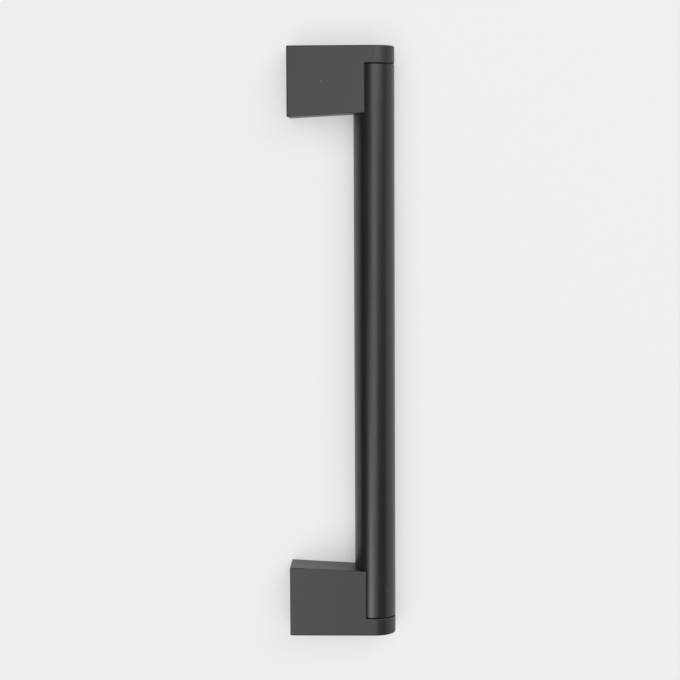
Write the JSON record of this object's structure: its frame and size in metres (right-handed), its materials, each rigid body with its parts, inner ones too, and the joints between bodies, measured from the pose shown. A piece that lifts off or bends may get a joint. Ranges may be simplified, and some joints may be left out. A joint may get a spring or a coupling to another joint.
{
  "type": "door pull handle",
  "caption": "Bar pull handle: a round matt black bar held at its ends by block feet with round-nosed caps, screwed on from behind the door.",
  "frame": {"origin": "on the door plane, midway between the fixing holes and at the middle of the thickness", "axes": "+X away from the door, +Y along the bar to the upper foot, +Z across the thickness; the handle lies on its side, lowest at Z = -6.35 mm"},
  "size_m": [0.033, 0.1832, 0.0126],
  "materials": {
    "bar_coating": "satin",
    "foot_coating": "satin",
    "screw_steel": "satin"
  },
  "bodies": {
    "root": {"bar_tube": "bar_coating", "upper_foot": "foot_coating", "lower_foot": "foot_coating", "upper_set_screw": "screw_steel", "lower_set_screw": "screw_steel"}
  },
  "joints": []
}
